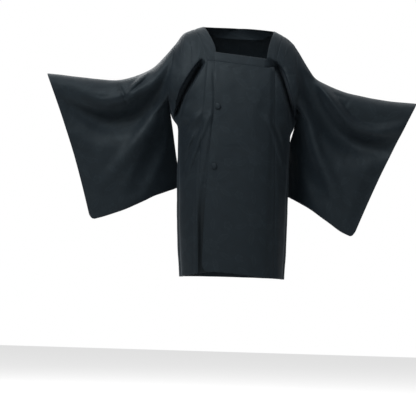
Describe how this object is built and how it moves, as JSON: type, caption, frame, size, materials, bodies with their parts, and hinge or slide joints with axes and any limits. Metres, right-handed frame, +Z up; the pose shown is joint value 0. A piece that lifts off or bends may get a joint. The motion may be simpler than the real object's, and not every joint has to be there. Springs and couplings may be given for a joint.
{
  "type": "kimono coat",
  "caption": "Half-length kimono coat with a square neck, wide bag sleeves and a lapped front closed by covered buttons, in its worn, hollow form.",
  "frame": {"origin": "middle of the neck opening at shoulder height, on the plane through both arms", "axes": "+X to the wearer's left, -Y to the front, +Z up"},
  "size_m": [1.1878, 0.3237, 0.8083],
  "materials": {
    "silk": "near-black figured silk, soft sheen",
    "button_silk": "the coat's silk stretched over a domed button"
  },
  "bodies": {
    "root": {"right_body_panel": "silk", "left_body_panel": "silk", "lower_front_overlap": "silk", "upper_front_overlap": "silk", "right_side_gusset": "silk", "left_side_gusset": "silk", "neckband": "silk", "right_sleeve": "silk", "left_sleeve": "silk", "upper_button": "button_silk", "lower_button": "button_silk"}
  },
  "joints": []
}
